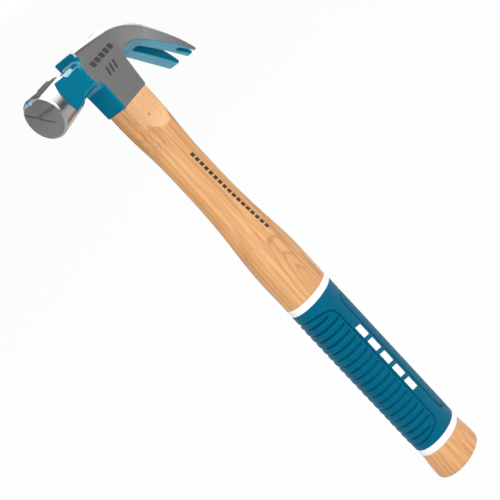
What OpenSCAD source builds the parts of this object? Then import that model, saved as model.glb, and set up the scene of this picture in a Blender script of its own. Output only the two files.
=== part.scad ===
// Claw hammer: forged head, hickory handle, wedges, starter magnet and two-layer grip.
// Origin: centre of the flat butt end. +Z runs up the handle to the head,
// the striking face looks towards -X and the claws reach towards +X.

/* [Handle] */
// Height of the cheeks' lower edge above the butt end
head_base_z = 262; // [250:1:275]
// Half width of the handle at the butt, face to claw
butt_half_w = 16.8; // [16.4:0.1:17.4]
// Half width of the bare handle above the grip
swell_half_w = 15.6; // [15.2:0.1:15.8]
// Half width at the waist
waist_half_w = 11.9; // [11:0.1:13]
// Half width just under the head
shoulder_half_w = 13.6; // [13:0.1:14.2]
// Thickness of the oval handle as a share of its width
handle_aspect = 0.77; // [0.72:0.01:0.82]
// Half thickness of the handle between its two shaved cheek flats
flat_half_t = 6.9; // [6.6:0.1:7.1]

/* [Head] */
// Distance from the handle's centre line to the striking face
face_reach = 49.7; // [48:0.1:54]
// Height of the poll's axis above the cheeks' lower edge
poll_rise = 25; // [24:0.5:26]
// Radius of the poll at the striking face
poll_face_r = 11.9; // [11.4:0.1:12.4]
// Radius of the poll at its back end
poll_back_r = 10.1; // [9.8:0.1:10.6]
// Width and depth of the chamfer round the striking face
face_chamfer = 0.9; // [0.5:0.1:1.4]
// Half thickness of the neck between the poll and the cheeks
neck_half_t = 6.6; // [6:0.1:7]
// Half thickness of the cheeks at their lower edge
cheek_low_half_t = 7.2; // [7.1:0.1:7.6]
// Half thickness of the cheeks at the crown
cheek_top_half_t = 8; // [7.8:0.1:8.4]
// Half width across the claws at their tips
claw_tip_half_w = 11.2; // [10.5:0.1:12]
// Half width of the nail slot at its blind end
slot_root_half_w = 2.9; // [2.2:0.1:3.2]
// Half width of the nail slot at the tips
slot_tip_half_w = 3.9; // [3.4:0.1:4.2]
// Radius of the small nail notch in one claw's tip
notch_r = 1.6; // [1.2:0.1:1.8]
// Radius of the nail-starting groove on top of the poll
groove_r = 2.3; // [1.8:0.1:2.6]

/* [Starter magnet] */
// Radius of the rod magnet behind the groove
magnet_r = 2.4; // [2:0.1:2.6]
// Length of the rod magnet
magnet_len = 8; // [6:0.5:9]

/* [Grip] */
// Lower end of the grip
grip_low_z = 17.2; // [15:0.2:20]
// Upper end of the grip
grip_top_z = 127; // [120:0.5:130]
// Height of the white collars at the grip's two ends
collar_h = 4; // [3:0.5:6]
// Half width of the rubber cover, face to claw
grip_half_w = 15.95; // [15.9:0.05:16.3]
// Thickness of the rubber cover
cover_t = 1.1; // [0.9:0.1:1.3]
// Thickness of the white liner under the cover
liner_t = 0.9; // [0.7:0.1:1.1]
// Number of inlay bars on each side of the grip
bar_count = 5; // [3:1:6]

/* [Wedges] */
// Thickness of the wooden wedge at the top of the handle
wood_wedge_t = 2.4; // [2:0.1:2.8]
// Depth that the wooden wedge reaches into the handle
wood_wedge_depth = 22; // [18:1:24]
// Thickness of each steel wedge at its head
steel_wedge_t = 1.8; // [1.4:0.1:2.2]
// Depth that each steel wedge reaches
steel_wedge_depth = 12; // [10:1:14]

/* [Hidden] */

ROUND = 96;
far = 60;
ring = 48;
poll_z = head_base_z + poll_rise;
poll_length = 21.3;
poll_back_x = -face_reach + face_chamfer + poll_length;
base = head_base_z;

// Side view of the head, as curves of [x, height over the base].
front_x = -13.8;
crown_front = [front_x, 35];
crown_back = [12, 31.8];
base_front = [front_x, 0];
base_back = [11.2, 0];
throat_low = [12.9, 15];
throat_top = [18.7, 20.3];
root_top = [35.1, 19.7];
root_under = [30.3, 14.9];
tip_top = [53.7, -8.1];
tip_under = [52.4, -8.5];
cheek_ribs = 5;
throat_ribs = 16;
claw_ribs = 12;
dome_steps = 16;

// Eye that the handle's tenon fills.
eye_half_l = 9.3;
eye_half_t = 4.8;
eye_x = -0.5;
eye_waist_z = base + 20;
eye_flare_l = 1;
eye_flare_t = 0.7;
eye_top_z = base + 37;
eye_arc = 8;
tenon_slope = 4;

// Oval sections of the handle and the grip.
liner_half_w = grip_half_w - cover_t;
core_half_w = liner_half_w - liner_t;
grip_half_t = grip_half_w * handle_aspect;
flat_len = 20;

function bez(a, b, c, d, t) =
    a * pow(1 - t, 3) + 3 * b * t * pow(1 - t, 2) + 3 * c * t * t * (1 - t) + d * pow(t, 3);
function mix(a, b, t) = a + (b - a) * t;
function ease(t) = t * t * (3 - 2 * t);

// Upper edge of the side faces, at rib position u: 0 to 1 cheeks, 1 to 2 throat, 2 to 3 claws.
function top_at(u) =
    u < 1 ? mix(crown_front, crown_back, u)
    : u < 2 ? bez(crown_back, [20, 30.8], [28.9, 26.9], root_top, pow(u - 1, 1.5))
    : bez(root_top, [41, 12.6], [50.6, 0], tip_top, u - 2);

// Lower edge of the side faces at the same rib position.
function under_at(u) =
    u < 1 ? mix(base_front, base_back, u)
    : u < 1.25 ? mix(base_back, throat_low, 4 * (u - 1))
    : u < 1.6 ? bez(throat_low, [13.4, 18], [15, 20.4], throat_top, (u - 1.25) / 0.35)
    : u < 2 ? bez(throat_top, [23, 20.2], [27, 18.2], root_under, (u - 1.6) / 0.4)
    : bez(root_under, [37, 8.9], [45, 0.2], tip_under, u - 2);

function cheek_half_t(h) = mix(cheek_low_half_t, cheek_top_half_t, h / 35);
function flare(u) = ease(min(1, max(0, (u - 1.2) / 1.5)));
function half_w_at(u, h) = mix(cheek_half_t(h), claw_tip_half_w, flare(u));

// Height and squareness of the crown's dome over the side faces' upper edge.
function dome_h(u) = u < 1 ? mix(2.7, 3.8, u) : u < 2 ? mix(3.8, 4.4, u - 1) : mix(4.4, 0.5, u - 2);
function dome_power(u) = mix(5, 2.4, min(1, u));
function dome(s, p) = pow(max(0, 1 - pow(abs(s), p)), 1 / p);

// One closed cross-section of the crown and claws.
function rib(u) =
    let (t = top_at(u), b = under_at(u), d = (t - b) / norm(t - b),
         w = half_w_at(u, t[1]), v = half_w_at(u, b[1]), p = dome_power(u))
    concat([[b[0], -v, base + b[1]], [b[0], v, base + b[1]]],
           [for (i = [0:dome_steps])
               let (s = cos(180 * i / dome_steps), e = t + d * dome_h(u) * dome(s, p))
               [e[0], w * s, base + e[1]]]);

// Solid skin over a list of closed sections that all have the same number of points.
module loft(sections) {
    n = len(sections[0]);
    m = len(sections);
    polyhedron(
        points = [for (s = sections, p = s) p],
        faces = concat(
            [[for (i = [0:n - 1]) i]],
            [for (j = [0:m - 2], i = [0:n - 1])
                [j * n + i, (j + 1) * n + (i + 1) % n, j * n + (i + 1) % n]],
            [for (j = [0:m - 2], i = [0:n - 1])
                [j * n + i, (j + 1) * n + i, (j + 1) * n + (i + 1) % n]],
            [[for (i = [n - 1:-1:0]) (m - 1) * n + i]]),
        convexity = 6);
}

module cheeks_and_claws() {
    loft(concat(
        [for (i = [0:cheek_ribs - 1]) rib(i / cheek_ribs)],
        [for (i = [0:throat_ribs - 1]) rib(1 + i / throat_ribs)],
        [for (i = [0:claw_ribs]) rib(2 + i / claw_ribs)]));
}

// Space in front of the eye's skirt, which stands back from the crown's front wall.
module skirt_setback() {
    skirt_x = -12.5;
    rotate([90, 0, 0])
        linear_extrude(far, center = true)
            polygon([[-far, base - 1], [skirt_x, base - 1], [skirt_x, base + 13.5],
                     [front_x - 0.5, base + 17.5], [-far, base + 17.5]]);
}

// Thickened root where the neck runs into the cheeks.
module neck_root() {
    rotate([90, 0, 0])
        linear_extrude(2 * cheek_low_half_t + 0.6, center = true)
            polygon([[-10, base + 16], [-14.4, base + 17.9], [-16.9, base + 19.2],
                     [-16.6, base + 29.5], [-14.6, base + 30.7], [-10, base + 30.7]]);
}

// Turned poll with a chamfered striking face.
module poll() {
    translate([-face_reach, 0, poll_z])
        rotate([0, 90, 0])
            rotate_extrude($fn = ROUND)
                polygon([[0, 0], [poll_face_r - face_chamfer, 0], [poll_face_r, face_chamfer],
                         [poll_back_r, face_chamfer + poll_length],
                         [poll_back_r - 1.2, face_chamfer + poll_length + 1.2],
                         [0, face_chamfer + poll_length + 1.2]]);
}

// Neck block with bevelled edges; the scoops trim its sides.
module neck() {
    half_h = 7.9;
    half_t = neck_half_t + 1;
    edge = 3;
    translate([-10, 0, poll_z])
        rotate([0, -90, 0])
            linear_extrude(-poll_back_x - 7.5)
                polygon([[-half_h, -half_t + edge], [-half_h + edge, -half_t],
                         [half_h - edge, -half_t], [half_h, -half_t + edge],
                         [half_h, half_t - edge], [half_h - edge, half_t],
                         [-half_h + edge, half_t], [-half_h, half_t - edge]]);
}

// Poll and neck, scooped on both sides so that the turned surface ends in an arch.
module poll_and_neck() {
    scoop_front_x = poll_back_x - 14.9;
    scoop_back_x = poll_back_x - 7.5;
    wide = poll_face_r + 1;
    intersection() {
        union() {
            poll();
            neck();
        }
        translate([0, 0, poll_z - far / 2])
            linear_extrude(far)
                polygon([[-far, -wide], [scoop_front_x - 1.5, -wide], [scoop_back_x, -neck_half_t],
                         [-9, -neck_half_t], [-9, neck_half_t], [scoop_back_x, neck_half_t],
                         [scoop_front_x - 1.5, wide], [-far, wide]]);
    }
}

// Plan section of the eye at height z, a slot with round ends, grown by a length and a thickness.
function eye_section(z, grow_l, grow_t) =
    let (r = eye_half_t + grow_t, reach = eye_half_l + grow_l - r)
    [for (side = [1, -1], i = [0:eye_arc])
        let (a = side * 90 + 180 * i / eye_arc - 180)
        [eye_x + side * reach + r * cos(a), r * sin(a), z]];

// Tapered eye: parallel below its waist and flared towards the crown.
module eye_space(low_z) {
    loft([eye_section(low_z, 0, 0),
          eye_section(eye_waist_z, 0, 0),
          eye_section(eye_top_z + 1, eye_flare_l, eye_flare_t)]);
}

// Places a cutter in the plane of the claws: its X runs towards the tips, its Z through the metal.
module claw_plane() {
    slope = atan2(root_under[1] - tip_under[1], tip_under[0] - root_under[0]);
    translate([root_under[0], 0, base + root_under[1]])
        rotate([0, slope, 0])
            children();
}

module nail_slot() {
    end_r = 2;
    claw_len = norm(tip_under - root_under) + 4;
    claw_plane()
        translate([0, 0, -6])
            linear_extrude(26)
                hull() {
                    translate([end_r, slot_root_half_w - end_r])
                        circle(r = end_r, $fn = 24);
                    translate([end_r, -slot_root_half_w + end_r])
                        circle(r = end_r, $fn = 24);
                    translate([claw_len, -slot_tip_half_w])
                        square([0.1, 2 * slot_tip_half_w]);
                }
}

module tip_notch() {
    start = 23.5;
    notch_y = -7.7;
    claw_plane()
        translate([0, 0, -6])
            linear_extrude(20) {
                translate([start, notch_y])
                    circle(r = notch_r, $fn = 32);
                translate([start, notch_y])
                    rotate(-8)
                        translate([0, -notch_r])
                            square([14, 2 * notch_r]);
            }
}

magnet_x = -face_reach + 9.8;
magnet_z = poll_z + 8.9;

module starter_groove() {
    translate([-face_reach - 1, 0, poll_z + poll_face_r - 0.4])
        rotate([0, 90, 0])
            cylinder(r = groove_r, h = magnet_x + face_reach + 1.5, $fn = ROUND);
    translate([magnet_x, 0, magnet_z])
        rotate([0, 90, 0])
            cylinder(r = magnet_r, h = magnet_len, $fn = ROUND);
    translate([magnet_x, -magnet_r, magnet_z])
        cube([magnet_len, 2 * magnet_r, 6]);
}

module head() {
    color("slategray")
        difference() {
            union() {
                difference() {
                    cheeks_and_claws();
                    skirt_setback();
                }
                neck_root();
                poll_and_neck();
            }
            eye_space(base - 1);
            nail_slot();
            tip_notch();
            starter_groove();
        }
}

// Heights where the handle's outline changes, and its half width at height z.
butt_z = 5;
swell_z = 152;
waist_low_z = 197;
waist_high_z = 226;
shoulder_z = 250;
function share(z, a, b) = (z - a) / (b - a);
function handle_half_w(z) =
    z < butt_z ? butt_half_w
    : z <= grip_low_z ? mix(butt_half_w, grip_half_w - 0.2, ease(share(z, butt_z, grip_low_z)))
    : z < swell_z ? mix(grip_half_w - 0.25, swell_half_w, share(z, grip_top_z, swell_z))
    : z < waist_low_z ? mix(swell_half_w, waist_half_w, ease(share(z, swell_z, waist_low_z)))
    : z < waist_high_z ? waist_half_w
    : z < shoulder_z ? mix(waist_half_w, shoulder_half_w, ease(share(z, waist_high_z, shoulder_z)))
    : shoulder_half_w;
function oval(z, a, b) =
    [for (i = [0:ring - 1]) [a * cos(360 * i / ring), b * sin(360 * i / ring), z]];
function handle_oval(z) = oval(z, handle_half_w(z), handle_half_w(z) * handle_aspect);

module oval_prism(a, z0, z1) {
    translate([0, 0, z0])
        linear_extrude(z1 - z0)
            polygon([for (p = oval(0, a, a * handle_aspect)) [p[0], p[1]]]);
}

// Whole oval handle, with a softened butt edge and a reduced core under the grip.
module handle_blank() {
    round_r = 2;
    loft(concat(
        [for (i = [0:4])
            let (t = 90 * i / 4, a = butt_half_w - round_r * (1 - sin(t)),
                 b = butt_half_w * handle_aspect - round_r * (1 - sin(t)))
            oval(round_r * (1 - cos(t)), a, b)],
        [for (i = [0:6]) handle_oval(mix(butt_z, grip_low_z, i / 6))],
        [for (z = [grip_low_z, grip_top_z]) oval(z, core_half_w, core_half_w * handle_aspect)],
        [for (i = [0:20]) handle_oval(mix(grip_top_z, base, i / 20))]));
}

// Wood shaved from both broad sides, leaving flats that run out in an arc below the head.
module cheek_flats() {
    run_r = 35;
    run_z = base - 6;
    for (side = [0, 1])
        mirror([0, side, 0])
            rotate([90, 0, 90])
                linear_extrude(far, center = true)
                    polygon(concat(
                        [[flat_half_t, base + 1]],
                        [for (i = [0:6])
                            let (t = 6 * i)
                            [flat_half_t + run_r * (1 - cos(t)), run_z - run_r * sin(t)]],
                        [[far, run_z - far / 2], [far, base + 1]]));
}

module wood_wedge_space(extra) {
    half_l = 7.4;
    top_z = eye_top_z + 2;
    low_z = eye_top_z - wood_wedge_depth - extra;
    low_t = 0.4;
    translate([eye_x, 0, 0])
        rotate([90, 0, 90])
            linear_extrude(2 * half_l, center = true)
                polygon([[-low_t, low_z], [low_t, low_z], [low_t, low_z + extra],
                         [wood_wedge_t / 2, top_z], [-wood_wedge_t / 2, top_z],
                         [-low_t, low_z + extra]]);
}

module steel_wedge_space(x) {
    width = 7.6;
    low_t = 0.25;
    top_z = eye_top_z + 2;
    low_z = eye_top_z - steel_wedge_depth;
    translate([x, 0, 0])
        rotate([90, 0, 0])
            linear_extrude(width, center = true)
                polygon([[-low_t, low_z], [low_t, low_z],
                         [steel_wedge_t / 2, top_z], [-steel_wedge_t / 2, top_z]]);
}

steel_front_x = eye_x - 4.4;
steel_rear_x = eye_x + 4.4;

// Everything above the sawn top of the handle, which follows the crown's slope.
module above_tenon() {
    translate([0, 0, eye_top_z - 0.9])
        rotate([0, tenon_slope, 0])
            translate([-far / 2, -far / 2, 0])
                cube(far);
}

module handle() {
    color("burlywood")
        difference() {
            union() {
                difference() {
                    handle_blank();
                    cheek_flats();
                }
                eye_space(base - 4);
            }
            wood_wedge_space(5);
            steel_wedge_space(steel_front_x);
            steel_wedge_space(steel_rear_x);
            above_tenon();
        }
}

module wooden_wedge() {
    color("peru")
        difference() {
            wood_wedge_space(0);
            steel_wedge_space(steel_front_x);
            steel_wedge_space(steel_rear_x);
            above_tenon();
        }
}

module steel_wedge_front() {
    color("dimgray")
        difference() {
            steel_wedge_space(steel_front_x);
            above_tenon();
        }
}

module steel_wedge_rear() {
    color("dimgray")
        difference() {
            steel_wedge_space(steel_rear_x);
            above_tenon();
        }
}

// Slanted inlay bars along the smooth band on both broad sides of the grip.
module inlay_bars(depth) {
    bar_l = 7.4;
    bar_w = 4.6;
    lean = 1.2;
    first_z = 48.5;
    last_z = 98;
    pitch = (last_z - first_z) / bar_count;
    band_x = -1.4;
    for (side = [-1, 1], i = [0:bar_count - 1])
        translate([band_x, side * depth, first_z + (i + 0.5) * pitch])
            rotate([90, 0, 0])
                linear_extrude(8, center = true)
                    polygon([[-bar_w / 2, -(bar_l - lean) / 2], [bar_w / 2, -(bar_l + lean) / 2],
                             [bar_w / 2, (bar_l - lean) / 2], [-bar_w / 2, (bar_l + lean) / 2]]);
}

module grip_liner() {
    color("white")
        difference() {
            union() {
                oval_prism(grip_half_w + 0.1, grip_low_z, grip_low_z + collar_h);
                oval_prism(liner_half_w, grip_low_z + collar_h, grip_top_z - collar_h);
                oval_prism(grip_half_w + 0.1, grip_top_z - collar_h, grip_top_z);
                intersection() {
                    inlay_bars(grip_half_t);
                    oval_prism(grip_half_w, grip_low_z + collar_h, grip_top_z - collar_h);
                }
            }
            oval_prism(core_half_w, grip_low_z - 1, grip_top_z + 1);
        }
}

module grip_cover() {
    color("teal")
        difference() {
            oval_prism(grip_half_w, grip_low_z + collar_h, grip_top_z - collar_h);
            oval_prism(liner_half_w, grip_low_z, grip_top_z);
            inlay_bars(grip_half_t);
        }
}

module starter_magnet() {
    color("black")
        translate([magnet_x, 0, magnet_z])
            rotate([0, 90, 0])
                cylinder(r = magnet_r, h = magnet_len, $fn = ROUND);
}

head();
handle();
wooden_wedge();
steel_wedge_front();
steel_wedge_rear();
grip_liner();
grip_cover();
starter_magnet();
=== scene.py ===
"""Visual model of the claw hammer. Lengths are in millimetres in the row frame until they become meshes."""

import math
from functools import partialmethod

import bpy
import numpy as np
from mathutils import Matrix, Vector


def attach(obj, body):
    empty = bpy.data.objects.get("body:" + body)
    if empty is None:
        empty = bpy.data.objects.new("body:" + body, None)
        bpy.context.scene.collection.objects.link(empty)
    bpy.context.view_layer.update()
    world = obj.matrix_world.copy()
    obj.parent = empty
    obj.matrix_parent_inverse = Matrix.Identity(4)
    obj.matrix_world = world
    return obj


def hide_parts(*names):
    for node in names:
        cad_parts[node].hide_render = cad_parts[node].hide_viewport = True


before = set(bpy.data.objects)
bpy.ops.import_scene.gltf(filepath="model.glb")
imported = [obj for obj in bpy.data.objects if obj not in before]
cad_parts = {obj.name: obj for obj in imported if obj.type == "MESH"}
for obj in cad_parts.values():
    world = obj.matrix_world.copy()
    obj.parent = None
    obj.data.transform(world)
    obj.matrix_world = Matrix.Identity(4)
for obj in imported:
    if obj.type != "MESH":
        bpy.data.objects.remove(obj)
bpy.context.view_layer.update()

MM = 0.001
BASE_Z = 262.0  # The head's underside; heights h in the head are measured from here.
POLL_H = 25.0   # The poll's axis.

# ---------------------------------------------------------------- shared maths


def mix(a, b, t):
    return a + (b - a) * t


def clamp01(t):
    return np.clip(t, 0.0, 1.0)


def ease(t):
    t = clamp01(t)
    return t * t * (3 - 2 * t)


def bez(a, b, c, d, t):
    a, b, c, d = (np.asarray(p, float) for p in (a, b, c, d))
    t = np.asarray(t, float)[..., None]
    return a * (1 - t) ** 3 + 3 * b * t * (1 - t) ** 2 + 3 * c * t * t * (1 - t) + d * t ** 3


def smooth_max(a, b, k):
    return np.maximum(a, b) + np.maximum(k - np.abs(a - b), 0) ** 2 / (4 * k)


def smooth_min(a, b, k):
    return -smooth_max(-a, -b, k)


def round_max(a, b, r):
    """Intersection of two distance fields with a round edge of radius r."""
    inner = np.minimum(np.maximum(a, b), -r)
    return inner + np.sqrt(np.maximum(a + r, 0) ** 2 + np.maximum(b + r, 0) ** 2)


# ---------------------------------------------------------------- meshes


def add_mesh(name, verts, faces, normals=None, attributes=None):
    """A smooth-shaded mesh object from points in millimetres."""
    mesh = bpy.data.meshes.new(name)
    mesh.from_pydata((np.asarray(verts, float) * MM).tolist(), [], faces)
    mesh.polygons.foreach_set("use_smooth", np.ones(len(mesh.polygons), bool))
    for key, values in (attributes or {}).items():
        layer = mesh.attributes.new(key, "FLOAT", "POINT")
        layer.data.foreach_set("value", np.asarray(values, np.float32))
    mesh.update()
    if normals is not None:
        mesh.normals_split_custom_set_from_vertices(np.asarray(normals, float).tolist())
    obj = bpy.data.objects.new(name, mesh)
    bpy.context.scene.collection.objects.link(obj)
    return obj


def ring_faces(rows, cols):
    """Quads joining successive closed rings, outward for rings that turn anticlockwise as they rise."""
    i, j = np.meshgrid(np.arange(rows - 1), np.arange(cols), indexing="ij")
    a = i * cols + j
    b = i * cols + (j + 1) % cols
    return np.stack([a, b, b + cols, a + cols], -1).reshape(-1, 4).tolist()


def skin(rings):
    """Vertices and faces of a closed skin over rings of equal length, with a fan cap at each end."""
    rings = np.asarray(rings, float)
    rows, cols = rings.shape[:2]
    verts = rings.reshape(-1, 3).tolist() + [ring.mean(0).tolist() for ring in (rings[0], rings[-1])]
    top, centre = (rows - 1) * cols, rows * cols
    faces = ring_faces(rows, cols)
    faces += [[(j + 1) % cols, j, centre] for j in range(cols)]
    faces += [[top + j, top + (j + 1) % cols, centre + 1] for j in range(cols)]
    return verts, faces


def turns(cols):
    """Evenly spaced angles round a ring."""
    return np.arange(cols) * 2 * math.pi / cols


# ---------------------------------------------------------------- plane fields


class PlaneField:
    """Values on an (x, h) grid, read back with smooth cubic interpolation."""

    STEP = 0.25
    X0, X1 = -54.0, 58.0
    H0, H1 = -12.0, 42.0

    @classmethod
    def grid(cls):
        xs = np.arange(cls.X0, cls.X1 + cls.STEP, cls.STEP)
        hs = np.arange(cls.H0, cls.H1 + cls.STEP, cls.STEP)
        return np.meshgrid(xs, hs, indexing="ij")

    def __init__(self, values):
        self.v = values

    def __call__(self, x, h):
        x, h = np.broadcast_arrays(x, h)
        gx = (x - self.X0) / self.STEP
        gh = (h - self.H0) / self.STEP
        i = np.clip(np.floor(gx).astype(int), 1, self.v.shape[0] - 3)
        j = np.clip(np.floor(gh).astype(int), 1, self.v.shape[1] - 3)
        wx, wh = self.weights(gx - i), self.weights(gh - j)
        out = np.zeros(x.shape)
        for a in range(4):
            row = np.zeros(x.shape)
            for b in range(4):
                row += wh[b] * self.v[i + a - 1, j + b - 1]
            out += wx[a] * row
        return out

    @staticmethod
    def weights(t):
        """Cubic B-spline weights, which also smooth the small kinks between segments."""
        return [(1 - t) ** 3 / 6, (3 * t ** 3 - 6 * t ** 2 + 4) / 6,
                (-3 * t ** 3 + 3 * t ** 2 + 3 * t + 1) / 6, t ** 3 / 6]


def outline_distance(line, closing):
    """Signed distance to an open line; inside (negative) is the area the closing points shut in."""
    x, h = PlaneField.grid()
    line = np.asarray(line, float)
    ring = np.vstack([line, np.asarray(closing, float)])
    inside = np.zeros(x.shape, bool)
    for a, b in zip(ring, np.roll(ring, -1, 0)):
        if a[1] == b[1]:
            continue
        crosses = (a[1] > h) != (b[1] > h)
        inside ^= crosses & (x < (b[0] - a[0]) * (h - a[1]) / (b[1] - a[1]) + a[0])
    best = np.full(x.shape, 1e9)
    at = np.zeros(x.shape)
    for k in range(len(line) - 1):
        a, d = line[k], line[k + 1] - line[k]
        t = clamp01(((x - a[0]) * d[0] + (h - a[1]) * d[1]) / (d @ d))
        dist = (x - a[0] - t * d[0]) ** 2 + (h - a[1] - t * d[1]) ** 2
        closer = dist < best
        best = np.where(closer, dist, best)
        at = np.where(closer, k + t, at)
    return np.sqrt(best) * np.where(inside, -1, 1), at


# ---------------------------------------------------------------- head shape

FRONT_X = -13.8
TIP_TOP, TIP_UNDER = (53.7, -8.1), (52.4, -8.5)
ROOT_TOP, ROOT_UNDER = (35.1, 19.7), (30.3, 14.9)
FACE_X, POLL_BACK_X = -49.7, -27.5
FACE_R, POLL_BACK_R, CHAMFER = 11.9, 10.05, 0.9
CHEEK_W, CLAW_W = (7.2, 8.0), 11.2            # Half widths: at foot and crown, and at the claws.
NECK_T, NECK_UP, NECK_BEVEL = 6.6, 7.9, 12.5  # Half thickness, half height, bevels' reach.
SCOOP_X, SCOOP_TURN = -35.5, (0.573, 0.819)   # Where the neck's side scoops run out, and their slope.
TIP_TURN = (0.294, 0.956)                     # Slope of the cut across the claws' tips.
SLOT_HALF, SLOT_SPREAD, SLOT_LEN, SLOT_END_R = 2.95, 0.9, 34, 1.9
NOTCH_R, NOTCH_ALONG, NOTCH_SIDE, NOTCH_TURN = 1.65, 23.5, 7.7, (0.99, 0.139)
GROOVE_R, GROOVE_SINK, MAGNET_R = 2.3, 0.4, 2.4
MAGNET_X, MAGNET_LEN, MAGNET_H = -39.9, 8.0, POLL_H + 8.9
EYE_X, EYE_REACH, EYE_R, TENON_R = -0.5, 4.5, 4.8, 4.75
EYE_MORE_REACH, EYE_MORE_R = 0.3, 0.7         # How much the eye and the tenon grow towards the crown.
SLOPE = math.atan2(ROOT_UNDER[1] - TIP_UNDER[1], TIP_UNDER[0] - ROOT_UNDER[0])
HALF_SQRT_2 = 0.7071


def top_line():
    """The side faces' upper edge, and each point's rib position: 0 to 1 cheeks, to 2 throat, to 3 claws."""
    u = np.linspace(0, 3, 151)
    cheeks = mix(np.array([FRONT_X, 35.0]), np.array([12, 31.8]), clamp01(u)[:, None])
    throat = bez((12, 31.8), (20, 30.8), (28.9, 26.9), ROOT_TOP, clamp01(u - 1) ** 1.5)
    claws = bez(ROOT_TOP, (41, 12.6), (50.6, 0), TIP_TOP, clamp01(u - 2))
    line = np.where(u[:, None] < 1, cheeks, np.where(u[:, None] < 2, throat, claws))
    return line, u


def under_line():
    """Underside of the throat and claws, and the back of the cheeks."""
    t = np.linspace(0, 1, 24)
    return np.vstack([
        [[11.0, -20], [11.2, 0]],
        [[12.9, 15]],
        bez((12.9, 15), (13.4, 18), (15, 20.4), (18.7, 20.3), t)[1:],
        bez((18.7, 20.3), (23, 20.2), (27, 18.2), ROOT_UNDER, t)[1:],
        bez(ROOT_UNDER, (37, 8.9), (45, 0.2), TIP_UNDER, t)[1:],
        [[56.5, -13.5], [62, -20]]])


def front_line():
    """Front edge of the cheeks, with the step where the neck meets them."""
    return [(-12.5, -20), (-12.5, 13.6), (-12.65, 15.0), (-13.2, 16.4), (-14.2, 17.6), (-15.4, 18.6),
            (-16.3, 19.9), (-16.75, 21.4), (-16.75, 28.0), (-16.3, 29.6), (-15.2, 30.7),
            (-14.2, 31.4), (FRONT_X, 32.6), (FRONT_X, 60)]


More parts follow.
